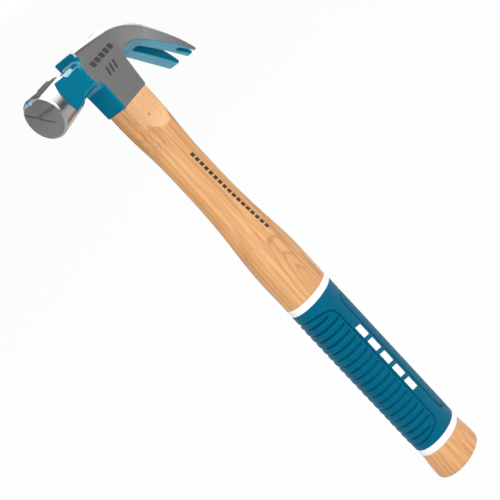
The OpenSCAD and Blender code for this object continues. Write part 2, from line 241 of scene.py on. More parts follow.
class Head:
    """Distance-like field of the forged head: negative inside the steel."""

    def __init__(self):
        line, rib = top_line()
        extended = np.vstack([[-80, 35 + 66.2 * 3.2 / 25.8], line, [65, -25.2]])
        top, at = outline_distance(extended, [[65, -80], [-80, -80]])
        rib = np.interp(at, np.arange(len(extended)), np.concatenate([[0], rib, [3]]))
        x, h = PlaneField.grid()
        self.top = PlaneField(top)
        self.under = PlaneField(outline_distance(under_line(), [[62, 90], [-90, 90], [-90, -20]])[0])
        self.front = PlaneField(outline_distance(front_line(), [[90, 60], [90, -20]])[0])
        # The flare belongs to the throat and claws, not to the cheeks' lower corner.
        flare = ease((rib - 1.2) / 1.5) * clamp01(np.maximum((x - 13) / 4, (h - 9) / 5))
        self.half_w = PlaneField(mix(mix(*CHEEK_W, np.clip(h, 0, 36) / 35), CLAW_W, flare))
        self.dome_h = PlaneField(np.interp(rib, [0, 1, 2, 3], [2.7, 3.8, 4.4, 0.5]))
        self.dome_p = PlaneField(np.interp(rib, [0, 1], [5.0, 2.4]))

    def parts(self, x, y, z):
        """The separate fields at a point, which the surface masks use as well."""
        h, side_y = z - BASE_Z, np.abs(y)
        w, rise, p = self.half_w(x, h), self.dome_h(x, h), self.dome_p(x, h)
        over = self.top(x, h)
        flat = side_y - w
        q = side_y / w
        t = np.maximum(over, 0) / rise
        r = np.maximum((q ** p + t ** p), 1e-9) ** (1 / p)
        slant = np.sqrt(((q / r) ** (p - 1) / w) ** 2 + ((t / r) ** (p - 1) / rise) ** 2)
        dome = np.where(over > 0, (r - 1) / np.maximum(slant, 1e-3), flat)
        tip = TIP_TURN[0] * (x - TIP_UNDER[0]) - TIP_TURN[1] * (h - TIP_UNDER[1])
        # The slot between the claws, and the small nail notch in the camera-side claw.
        along = (x - ROOT_UNDER[0]) * math.cos(SLOPE) - (h - ROOT_UNDER[1]) * math.sin(SLOPE)
        slot = round_max(side_y - (SLOT_HALF + SLOT_SPREAD * along / SLOT_LEN), -along, SLOT_END_R)
        ahead, aside = along - NOTCH_ALONG, y + NOTCH_SIDE
        na = ahead * NOTCH_TURN[0] - aside * NOTCH_TURN[1]
        nb = ahead * NOTCH_TURN[1] + aside * NOTCH_TURN[0]
        notch = np.where(na < 0, np.sqrt(na ** 2 + nb ** 2), np.abs(nb)) - NOTCH_R
        notch = np.maximum(notch, -(12 + along))
        # The poll, the scoops beside the neck, and the groove and pocket on top.
        radial = np.sqrt(y ** 2 + (h - POLL_H) ** 2)
        slope = (x - FACE_X - CHAMFER) / (POLL_BACK_X - FACE_X - CHAMFER)
        barrel = radial - mix(FACE_R, POLL_BACK_R, slope)
        chamfer = (radial - FACE_R + CHAMFER + FACE_X - x) * HALF_SQRT_2
        neck_side = side_y - NECK_T
        scoop = smooth_min(neck_side, SCOOP_TURN[0] * (x - SCOOP_X) + SCOOP_TURN[1] * neck_side, 0.1)
        scoop = np.where(x > -30, neck_side, scoop)
        groove = np.sqrt(y ** 2 + (h - POLL_H - FACE_R + GROOVE_SINK) ** 2) - GROOVE_R
        groove = np.maximum(groove, x - MAGNET_X - 0.5)
        pocket = np.sqrt(y ** 2 + (h - MAGNET_H) ** 2) - MAGNET_R
        pocket = np.minimum(pocket, np.maximum(side_y - MAGNET_R, MAGNET_H - h))
        pocket = np.maximum(np.maximum(pocket, MAGNET_X - x), x - MAGNET_X - MAGNET_LEN)
        grow = clamp01((h - 20) / 18)
        reach = EYE_REACH + grow * EYE_MORE_REACH
        eye = np.sqrt(np.maximum(np.abs(x - EYE_X) - reach, 0) ** 2 + y ** 2) - (EYE_R + EYE_MORE_R * grow)
        return dict(h=h, side_y=side_y, flat=flat, over=over, dome=dome, tip=tip, slot=slot, notch=notch,
                    radial=radial, barrel=barrel, chamfer=chamfer, scoop=scoop, groove=groove,
                    pocket=pocket, eye=eye)

    def field(self, x, y, z):
        p = self.parts(x, y, z)
        h = p["h"]
        # Cheeks, crown and claws.
        front = self.front(x, h)
        skirt = round_max(front, p["flat"], 1.9)
        body = smooth_max(p["dome"], self.under(x, h), 0.5)
        body = smooth_max(body, skirt, 0.25)
        body = smooth_max(body, np.where(x < 25, -h, -20.0), 0.5)
        body = np.maximum(body, round_max(p["tip"], p["flat"], 1.4))
        body = smooth_max(body, p["tip"], 0.4)
        # Turned poll, ending in a cone behind.
        poll = smooth_max(p["barrel"], p["chamfer"], 0.22)
        poll = smooth_max(poll, FACE_X - x, 0.15)
        poll = smooth_max(poll, (p["radial"] - POLL_BACK_R + x - POLL_BACK_X) * HALF_SQRT_2, 0.5)
        # Neck with bevelled edges.
        up = np.abs(h - POLL_H)
        neck = round_max(up - NECK_UP, (up + p["side_y"] - NECK_BEVEL) * HALF_SQRT_2, 0.5)
        neck = np.maximum(np.maximum(neck, -32 - x), x + 8)
        shank = smooth_min(poll, neck, 0.7)
        shank = smooth_max(shank, p["scoop"], 0.3)
        steel = smooth_min(body, shank, 1.3)
        for cut, k in (("slot", 0.4), ("notch", 0.3), ("groove", 0.25), ("pocket", 0.2), ("eye", 0.4)):
            steel = smooth_max(steel, -p[cut], k)
        return steel

    def masks(self, x, y, z):
        """Signed distances, in millimetres, to the edges of the bare metal and of the ground face."""
        p = self.parts(x, y, z)
        not_cut = np.minimum(p["slot"], p["notch"]) - 0.12
        turned = np.minimum(0.35 - np.abs(np.maximum(p["barrel"], p["chamfer"])), -28.3 - x)
        turned = np.where(x < FACE_X + 0.4, np.maximum(turned, 0.4), turned)
        turned = np.minimum(turned, np.minimum(-p["scoop"], p["groove"]) - 0.1)
        cheek = np.minimum(0.12 + p["flat"], -self.front(x, p["h"]) - 0.02)
        dome = np.minimum(p["over"] + 0.4, x - FRONT_X - 0.22)
        bare = np.maximum(turned, np.minimum(np.maximum(cheek, dome), not_cut))
        shine = np.maximum(clamp01((p["over"] + 0.2) / 1.4) * (x > FRONT_X - 1), (x < -24) * 1.0)
        face = FACE_X + 0.15 - x
        return dict(bare=np.clip(bare, -1, 1), shine=shine, face=np.clip(face, -1, 1))


def surface_net(field, origin, step):
    """Quads around the zero level of a field sampled on a grid."""
    shape = np.array(field.shape) - 1
    points, cells, quads = [], [], []
    for axis in range(3):
        low = [slice(None)] * 3
        high = [slice(None)] * 3
        low[axis], high[axis] = slice(0, -1), slice(1, None)
        f0, f1 = field[tuple(low)], field[tuple(high)]
        edge = np.argwhere((f0 < 0) != (f1 < 0))
        v0, v1 = f0[tuple(edge.T)], f1[tuple(edge.T)]
        at = edge.astype(float)
        at[:, axis] += v0 / (v0 - v1)
        u, v = [a for a in range(3) if a != axis]
        around = []
        for du, dv in ((-1, -1), (0, -1), (0, 0), (-1, 0)):
            cell = edge.copy()
            cell[:, u] += du
            cell[:, v] += dv
            around.append(np.ravel_multi_index(cell.T, shape))
            points.append(at)
        flip = (v0 >= 0) ^ (axis == 1)
        quad = np.stack(around, -1)
        quad[flip] = quad[flip][:, ::-1]
        cells += around
        quads.append(quad)
    cells, points, quads = np.concatenate(cells), np.concatenate(points), np.concatenate(quads)
    used, inverse = np.unique(cells, return_inverse=True)
    count = np.bincount(inverse)
    verts = np.stack([np.bincount(inverse, points[:, a]) / count for a in range(3)], -1)
    return origin + verts * step, np.searchsorted(used, quads)


def settle(verts, quads, field, rounds=4, reach=0.25):
    """Evens out a net's quads while holding its vertices on the surface; returns points and normals."""
    nudge, pull = 0.04, 0.6

    def gradient(p):
        g = [field(*(p + d).T) - field(*(p - d).T) for d in np.eye(3) * nudge]
        return np.stack(g, -1) / (2 * nudge)

    for k in range(rounds):
        if k < rounds - 1:
            centre = verts[quads].mean(1)
            total = np.zeros_like(verts)
            for c in range(4):
                for a in range(3):
                    total[:, a] += np.bincount(quads[:, c], centre[:, a], len(verts))
            count = np.bincount(quads.ravel(), minlength=len(verts))
            verts = mix(verts, total / count[:, None], pull)
        for _ in range(2):
            g = gradient(verts)
            size = np.maximum((g ** 2).sum(-1), 0.05)
            step = np.clip(field(*verts.T) / np.sqrt(size), -reach, reach)
            verts = verts - g / np.sqrt(size)[:, None] * step[:, None]
    g = gradient(verts)
    return verts, g / np.maximum(np.linalg.norm(g, axis=-1, keepdims=True), 1e-6)


def build_head():
    """The forging as a net of quads; the step keeps it under the exporter's limit on faces."""
    shape = Head()
    step = 0.365
    low, high = np.array([-51.0, -12.6, 251.5]), np.array([55.5, 12.6, 301.5])
    axes = [np.arange(low[a], high[a] + step, step) for a in range(3)]
    x, y, z = axes[0][:, None, None], axes[1][None, :, None], axes[2][None, None, :]
    verts, quads = surface_net(shape.field(x, y, z), low, step)
    verts, normals = settle(verts, quads, shape.field)
    masks = shape.masks(*verts.T)
    return add_mesh("head_forging", verts, quads.tolist(), normals, masks)


# ---------------------------------------------------------------- handle

ASPECT = 0.77  # Thickness of the oval over its width.
FLAT_T, FLAT_Z, FLAT_R = 6.9, 256, 35  # Shaved flats: half distance, where they start to run out, arc.
FLAT_EDGE = 0.18
GRIP_LOW, GRIP_TOP = 17.2, 127.0
GRIP_W, COLLAR_H = 15.95, 4.0
CORE_W = 13.95  # Half width of the wood under the grip.
BUTT_R = 2.0
EYE_TOP = 298.1
TENON_SLOPE = math.tan(math.radians(4))
HANDLE_Z = [5, 17.2, 127, 152, 161.4, 172, 182.5, 193, 203, 213, 224, 234, 244, 252, 262]
HANDLE_W = [16.8, 15.75, 15.7, 15.6, 14.9, 13.75, 12.85, 12.25, 11.95, 11.9, 11.95, 12.5, 13.3, 13.65, 13.7]


def smooth_curve(at, xs, ys):
    """Cubic through points, with Catmull-Rom tangents."""
    xs, ys = np.asarray(xs, float), np.asarray(ys, float)
    slope = np.gradient(ys, xs)
    k = np.clip(np.searchsorted(xs, at) - 1, 0, len(xs) - 2)
    d = xs[k + 1] - xs[k]
    t = clamp01((at - xs[k]) / d)
    return ((2 * t ** 3 - 3 * t ** 2 + 1) * ys[k] + (t ** 3 - 2 * t ** 2 + t) * d * slope[k]
            + (3 * t ** 2 - 2 * t ** 3) * ys[k + 1] + (t ** 3 - t ** 2) * d * slope[k + 1])


def handle_half_w(z):
    if z <= GRIP_LOW:
        return mix(HANDLE_W[0], HANDLE_W[1], ease((z - HANDLE_Z[0]) / (GRIP_LOW - HANDLE_Z[0])))
    return float(smooth_curve(z, HANDLE_Z[2:], HANDLE_W[2:]))


def flat_half_t(z):
    """Half distance between the shaved flats, which run out in an arc."""
    drop = np.clip(FLAT_Z - z, 0, FLAT_R - 0.1)
    return FLAT_T + FLAT_R - math.sqrt(FLAT_R ** 2 - drop ** 2)


def handle_ring(z, cols, shrink=0.0):
    t = turns(cols)
    a = handle_half_w(z)
    x = (a - shrink) * np.cos(t)
    y = (a * ASPECT - shrink) * np.sin(t)
    flat = np.sign(y) * smooth_min(np.abs(y), flat_half_t(z) + 0 * y, FLAT_EDGE)
    return np.stack([x, flat, np.full(cols, z)], -1)


def tenon_ring(z, cols):
    """The tenon at height z: straight sides joined by half circles."""
    t = turns(cols)
    spread = 1.6  # Gives the ends enough of the ring's points.
    grow = clamp01((z - BASE_Z - 20) / 18)
    r, reach = TENON_R + EYE_MORE_R * grow, EYE_REACH + EYE_MORE_REACH * grow
    along = np.cos(t)
    at_end = np.abs(along) * spread > 1
    share = np.clip(np.sin(t) / math.sqrt(1 - (1 / spread) ** 2), -1, 1)
    angle = np.where(at_end, np.arcsin(share), math.pi / 2 * np.sign(np.sin(t)))
    x = EYE_X + reach * np.clip(along * spread, -1, 1)
    x = x + np.where(at_end, np.sign(along) * r * np.cos(angle), 0)
    return np.stack([x, r * np.sin(angle), np.full(cols, z)], -1)


def build_handle():
    cols = 192
    row = 0.8
    rings = []
    for share in (0.3, 0.6, 0.85):
        ring = handle_ring(0, cols, BUTT_R)
        rings.append(ring * [share, share, 0])
    for k in range(9):
        turn = math.pi / 2 * k / 8
        rings.append(handle_ring(BUTT_R - BUTT_R * math.cos(turn), cols, BUTT_R * (1 - math.sin(turn))))
    rings += [handle_ring(z, cols) for z in np.arange(2.6, GRIP_LOW - 0.05, row)]
    for z in (GRIP_LOW + 0.2, 45, 72, 100, GRIP_TOP - 0.2):
        ring = handle_ring(z, cols)
        ring[:, :2] *= CORE_W / handle_half_w(z)
        rings.append(ring)
    rings += [handle_ring(z, cols) for z in np.arange(GRIP_TOP - 0.05, BASE_Z - 0.1, row)]
    rings.append(handle_ring(BASE_Z - 0.02, cols))
    rings += [tenon_ring(z, cols) for z in (BASE_Z - 0.02, 270, 278, 286, 292, 294, 295.5)]
    # The tenon's sawn top follows the crown's slope.
    for share, drop in ((1, 0.25), (0.985, 0.12), (0.7, 0.12), (0.35, 0.12)):
        ring = tenon_ring(297.4, cols)
        if share < 1:
            ring[:, :2] = (ring[:, :2] - [EYE_X, 0]) * share + [EYE_X, 0]
        ring[:, 2] = EYE_TOP - drop - ring[:, 0] * TENON_SLOPE
        rings.append(ring)
    verts, faces = skin(rings)
    x, y, z = np.asarray(verts).T
    heights = np.linspace(230, BASE_Z, 33)
    half_w = np.interp(z, heights, [handle_half_w(v) for v in heights])
    oval_y = ASPECT * np.sqrt(np.maximum(half_w ** 2 - x ** 2, 0))
    facet = clamp01((oval_y - np.abs(y) - 0.03) / 0.1) * (z > 236)
    return add_mesh("hickory_handle", verts, faces, None, dict(facet=facet))


# ---------------------------------------------------------------- grip

BAR_COUNT, BAR_PITCH, BAR_LOW, BAR_X = 5, 9.9, 48.5, -1.4


def oval_points(t, z, half_w, out=0.0):
    """Points on the grip's oval at ellipse angle t, pushed out along its normal."""
    a, b = half_w, half_w * ASPECT
    nx, ny = b * np.cos(t), a * np.sin(t)
    n = np.sqrt(nx ** 2 + ny ** 2)
    return np.stack([a * np.cos(t) + out * nx / n, b * np.sin(t) + out * ny / n, z + 0 * t + 0 * out], -1)


def build_liner():
    """White tube under the cover, with a collar at each end and inlay bars on both broad sides."""
    cols, edge, under = 160, 0.5, -1.1
    low, top = GRIP_LOW + COLLAR_H, GRIP_TOP - COLLAR_H
    profile = [(GRIP_LOW, -1.2), (GRIP_LOW, -edge)]
    profile += [(GRIP_LOW + edge - edge * math.cos(a), -edge + edge * math.sin(a))
                for a in np.linspace(0.2, math.pi / 2, 6)]
    profile += [(low - 0.3, 0), (low, -0.12), (low + 0.1, under)]
    profile += [(top - 0.1, under), (top, -0.12), (top + 0.3, 0)]
    profile += [(GRIP_TOP - edge + edge * math.sin(a), -edge + edge * math.cos(a))
                for a in np.linspace(0, math.pi / 2 - 0.2, 6)]
    profile += [(GRIP_TOP, -edge), (GRIP_TOP, -1.2)]
    rings = [oval_points(turns(cols), z, GRIP_W + 0.1, out) for z, out in profile]
    rings += [oval_points(turns(cols), z, CORE_W + 0.05) for z in (GRIP_TOP - 1, GRIP_LOW + 1)]
    verts = np.reshape(rings, (-1, 3)).tolist()
    faces = (np.array(ring_faces(len(rings) + 1, cols)) % len(verts)).tolist()
    for side in (-1, 1):
        for k in range(BAR_COUNT):
            bar_v, bar_f = inlay_bar(side, BAR_LOW + (k + 0.5) * BAR_PITCH)
            faces += [[i + len(verts) for i in f] for f in bar_f]
            verts += bar_v
    return add_mesh("grip_liner_white", verts, faces)


def inlay_bar(side, z0):
    """One slanted raised bar that follows the grip's oval."""
    length, width, lean, top, edge, corner = 7.4, 4.6, 1.2, 0.16, 0.3, 0.5
    ring = []
    for cx, cz, start in ((1, -1, -math.pi / 2), (1, 1, 0), (-1, 1, math.pi / 2), (-1, -1, math.pi)):
        for a in np.linspace(0, math.pi / 2, 9):
            ring.append(((width / 2 - corner) * cx + corner * math.cos(start + a),
                         (length / 2 - corner) * cz + corner * math.sin(start + a)))
    ring = np.array(ring)
    rows = []
    for inset, out in ((0, -1.4), (0, top - edge), (0.1, top - 0.08), (0.3, top), (1.2, top), (1.9, top)):
        scale = np.array([(width / 2 - inset) / (width / 2), (length / 2 - inset) / (length / 2)])
        flat = ring * scale
        t = -np.arccos(np.clip((BAR_X + flat[:, 0]) / GRIP_W, -1, 1))
        z = z0 + flat[:, 1] - flat[:, 0] * lean / width
        row = oval_points(t, z, GRIP_W, out + 0 * t)
        if side > 0:
            row = row[::-1] * [1, -1, 1]
        rows.append(row)
    return skin(rows)


def polyline_distance(px, pz, line):
    best = np.full(np.broadcast(px, pz).shape, 1e9)
    for a, b in zip(line[:-1], line[1:]):
        d = np.subtract(b, a)
        t = clamp01(((px - a[0]) * d[0] + (pz - a[1]) * d[1]) / (d @ d))
        best = np.minimum(best, (px - a[0] - t * d[0]) ** 2 + (pz - a[1] - t * d[1]) ** 2)
    return np.sqrt(best)


# Half outline of the ribbed panel: distance round the grip from the middle of the face side, and height.
FACE_PANEL = [(0, 117), (10, 116.8), (17, 116.3), (23, 115.5), (29.5, 114.4), (33, 113.2), (35.2, 111.2),
              (35.9, 108.4), (35.9, 34.5), (35.2, 31.4), (32.5, 29.4), (26, 27.9), (17, 26.5), (8, 25.9),
              (0, 25.8)]
FACE_PANEL_HALF = 35.9
# The panel's half width at some heights, as a share of the widest.
FACE_PANEL_Z = [26.0, 27.9, 29.4, 31.4, 34.5, 108.4, 111.2, 113.2, 114.4, 115.5, 116.8]
FACE_PANEL_SHARE = [0.05, 0.72, 0.9, 0.98, 1, 1, 0.98, 0.92, 0.82, 0.64, 0.2]
# The claw-side panel's half outline, with the distance as a share of its half width.
CLAW_PANEL = [(0, 27.6), (0.55, 27.8), (0.85, 28.9), (0.97, 31), (1, 34), (1, 109.5), (0.97, 112),
              (0.85, 113.6), (0.55, 114.6), (0, 114.8)]
FACE_PANEL_ANGLE, CLAW_PANEL_ANGLE = 113.6, 76.5  # Where the panels end, as polar angles in degrees.
RIB_TOP, RIB_LOW, RIB_COUNT = 112.8, 29.95, 19


def build_cover():
    """Rubber cover with a ribbed panel on the face side and a fine-textured one on the claw side."""
    a, b = GRIP_W, GRIP_W * ASPECT
    fine = np.linspace(0, 2 * math.pi, 7201)
    speed = np.sqrt((a * np.sin(fine)) ** 2 + (b * np.cos(fine)) ** 2)
    length = np.concatenate([[0], np.cumsum((speed[1:] + speed[:-1]) / 2 * np.diff(fine))])
    total = length[-1]
    middle = total / 2

    def arc_of(theta_deg):
        """Arc length from the claw side (0) to a polar angle, as measured round the oval."""
        t = math.atan2(math.sin(math.radians(theta_deg)) / ASPECT, math.cos(math.radians(theta_deg)))
        return float(np.interp(t % (2 * math.pi), fine, length))

    # Columns crowd together along the panels' edges.
    face_half, claw_half = middle - arc_of(FACE_PANEL_ANGLE), arc_of(CLAW_PANEL_ANGLE)
    lines = sorted([middle - face_half, middle + face_half, claw_half, total - claw_half])
    count = 236
    s = np.linspace(0, total, 4001)
    density = 1 + sum(2.4 * np.exp(-((s - c) / 0.9) ** 2) for c in lines)
    cumulative = np.concatenate([[0], np.cumsum((density[1:] + density[:-1]) / 2)])
    s = np.interp(np.arange(count) / count * cumulative[-1], cumulative, s)
    t = np.interp(s, length, fine)
    low, top = GRIP_LOW + COLLAR_H - 0.02, GRIP_TOP - COLLAR_H + 0.02
    z = np.linspace(low, top, 345)
    from_face, zz = np.meshgrid(np.abs(s - middle), z)
    from_claw = np.minimum(s, total - s)[None, :] + 0 * zz

    # Ribbed panel: rounded ribs between grooves, inside an outline groove.
    scale = face_half / FACE_PANEL_HALF
    edge = polyline_distance(from_face, zz, [(p * scale, q) for p, q in FACE_PANEL])
    inside = np.interp(zz, FACE_PANEL_Z, [face_half * k for k in FACE_PANEL_SHARE]) - from_face
    inside = np.where((zz < 25.9) | (zz > 116.9), -5, inside)
    nearest = np.full(zz.shape, 1e9)
    for k in range(RIB_COUNT):
        zk = mix(RIB_TOP, RIB_LOW, k / (RIB_COUNT - 1))
        reach = face_half * (0.66 if k in (0, RIB_COUNT - 1) else 0.875)
        nearest = np.minimum(nearest, np.sqrt((zz - zk) ** 2 + np.maximum(from_face - reach, 0) ** 2))
    half = (RIB_TOP - RIB_LOW) / (RIB_COUNT - 1) / 2
    crown = np.clip(1 - ((half - np.minimum(nearest, half)) / half) ** 2, 0, 1)
    relief = ease(inside / 1.2) * 0.28 * crown
    relief -= 0.95 * np.exp(-(nearest / 0.62) ** 4) + 0.18 * np.exp(-(nearest / 1.1) ** 2)
    relief -= 0.75 * np.exp(-(edge / 0.5) ** 4) + 0.12 * np.exp(-(edge / 1.0) ** 2)

    # Claw-side panel: an outline groove round a knurled field.
    claw_edge = polyline_distance(from_claw, zz, [(claw_half * p, q) for p, q in CLAW_PANEL])
    relief -= 0.7 * np.exp(-(claw_edge / 0.5) ** 4)
    claw_in = np.minimum(claw_half - from_claw, np.minimum(zz - 27.8, 114.6 - zz))
    rim = np.minimum(zz - low, top - zz)
    relief -= 0.45 * np.exp(-(rim / 0.35) ** 2)

    rows = [oval_points(t, zz[k], GRIP_W, relief[k]) for k in range(len(z))]
    rows += [oval_points(t, v, GRIP_W - 0.95) for v in (top, low)]
    verts = np.asarray(rows).reshape(-1, 3)
    faces = np.array(ring_faces(len(rows) + 1, count)) % len(verts)
    pad = np.zeros(2 * count)
    # The dark mask is painted shade: it darkens the rubber in its grooves.
    masks = {"knurl": clamp01((claw_in - 0.7) / 0.6), "dark": clamp01(-relief / 0.9)}
    attributes = {key: np.concatenate([value.ravel(), pad]) for key, value in masks.items()}
    return add_mesh("grip_cover_rubber", verts, faces.tolist(), None, attributes)


def build_magnet():
    cols, edge = 48, 0.25
    t = turns(cols)
    ends = ((0, 0.6), (0, MAGNET_R - edge), (edge * 0.3, MAGNET_R - edge * 0.3), (edge, MAGNET_R))
    profile = [*ends, *((MAGNET_LEN - x, r) for x, r in ends[::-1])]
    rings = [np.stack([np.full(cols, MAGNET_X + x), r * np.cos(t), BASE_Z + MAGNET_H + r * np.sin(t)], -1)
             for x, r in profile]
    return add_mesh("starter_magnet_rod", *skin(rings))


# ---------------------------------------------------------------- materials


class Graph:
    """Short way to write a node tree."""

    def __init__(self, name):
        self.material = bpy.data.materials.new(name)
        self.material.use_nodes = True
        self.tree = self.material.node_tree
        self.tree.nodes.clear()
        self.bsdf = self.node("ShaderNodeBsdfPrincipled")
        self.output = self.node("ShaderNodeOutputMaterial")
        self.tree.links.new(self.bsdf.outputs[0], self.output.inputs[0])

    def node(self, kind, **settings):
        made = self.tree.nodes.new(kind)
        for key, value in settings.items():
            setattr(made, key, value)
        return made

    def put(self, socket, value):
        if isinstance(value, bpy.types.NodeSocket):
            self.tree.links.new(value, socket)
        elif value is not None:
            socket.default_value = value

    def math(self, operation, a, b=None, c=None, clamp=False):
        made = self.node("ShaderNodeMath", operation=operation, use_clamp=clamp)
        for socket, value in zip(made.inputs, (a, b, c)):
            self.put(socket, value)
        return made.outputs[0]

    add, sub = partialmethod(math, "ADD"), partialmethod(math, "SUBTRACT")
    mul, mul_add = partialmethod(math, "MULTIPLY"), partialmethod(math, "MULTIPLY_ADD")
    abs, max = partialmethod(math, "ABSOLUTE"), partialmethod(math, "MAXIMUM")
    less = partialmethod(math, "LESS_THAN")

    def attribute(self, name):
        return self.node("ShaderNodeAttribute", attribute_name=name).outputs["Fac"]

    def place(self):
        """Position on the object in millimetres."""
        coords = self.node("ShaderNodeTexCoord").outputs["Object"]
        return self.scaled(coords, (1 / MM,) * 3)

    def scaled(self, vector, scale, turn=(0, 0, 0)):
        made = self.node("ShaderNodeMapping")
        self.put(made.inputs["Vector"], vector)
        made.inputs["Scale"].default_value = scale
        made.inputs["Rotation"].default_value = turn
        return made.outputs[0]

    def noise(self, vector, scale, detail=2.0, rough=0.5):
        made = self.node("ShaderNodeTexNoise")
        self.put(made.inputs["Vector"], vector)
        for key, value in (("Scale", scale), ("Detail", detail), ("Roughness", rough)):
            self.put(made.inputs[key], value)
        return made.outputs["Fac"]

    def steps(self, value, low, high, to_low=0.0, to_high=1.0):
        """Smooth step of a value between two limits, which may fall instead of rise."""
        made = self.node("ShaderNodeMapRange", clamp=True, interpolation_type="SMOOTHSTEP")
        for socket, v in zip(made.inputs, (value, low, high, to_low, to_high)):
            self.put(socket, v)
        return made.outputs[0]

    def colour(self, share, first, second):
        """Mix of two colours, by a share of the second."""
        made = self.node("ShaderNodeMix", data_type="RGBA")
        self.put(made.inputs["Factor"], share)
        for key, value in ((6, first), (7, second)):
            if not isinstance(value, bpy.types.NodeSocket):
                value = (*value, 1.0)
            self.put(made.inputs[key], value)
        return made.outputs[2]

    def number(self, share, first, second):
        """Mix of two numbers, by a share of the second."""
        made = self.node("ShaderNodeMix", data_type="FLOAT")
        for socket, value in zip(made.inputs[:1] + made.inputs[2:4], (share, first, second)):
            self.put(socket, value)
        return made.outputs[0]

    def bump(self, height, distance, strength=1.0, normal=None):
        made = self.node("ShaderNodeBump")
        self.put(made.inputs["Height"], height)
        made.inputs["Distance"].default_value = distance * MM
        self.put(made.inputs["Strength"], strength)
        if normal is not None:
            self.put(made.inputs["Normal"], normal)
        return made.outputs[0]

    def split(self, vector):
        made = self.node("ShaderNodeSeparateXYZ")
        self.put(made.inputs[0], vector)
        return made.outputs

    def surface(self, **values):
        for key, value in values.items():
            socket = self.bsdf.inputs[key.replace("_", " ")]
            if isinstance(value, tuple) and len(value) == 3:
                value = (*value, 1.0)
            self.put(socket, value)
        return self.material


INK = (0.07, 0.07, 0.072)
# The third paint colour carries painted reflected light, for the claws' undersides.
PAINT_DEEP, PAINT, PAINT_LIT = (0.0002, 0.138, 0.228), (0.0003, 0.155, 0.252), (0.004, 0.25, 0.37)
PAINT_SHEEN = (0.02, 0.5, 0.7)
NEAR_Y = -5.0  # Marks and the knot are on the camera's side of this plane.
# Rows of strokes on the cheek: where they start (x, z), then pitch, count, length, width and lean.
CHEEK_ROWS = ((-10.2, 287.9, 4.4, 5, 3.3, 3.1, 0.35), (-4.8, 280.2, 3.5, 3, 1.6, 4.6, -0.3))
HANDLE_ROW_Z = 166.8
HANDLE_ROW = (3.3, 17, 2.3, 2.5, 0.2)


def stroke_mask(g, u, v, pitch, count, length, width, lean):
    """A row of slanted bars along u from 0, centred on v = 0."""
    shifted = g.mul_add(v, lean, u)
    phase = g.sub(g.math("MODULO", shifted, pitch), pitch / 2)
    across = g.less(g.abs(phase), length / 2)
    band = g.less(g.abs(v), width / 2)
    inside = g.mul(g.math("GREATER_THAN", shifted, 0.0), g.less(shifted, pitch * count))
    return g.mul(g.mul(across, band), inside)


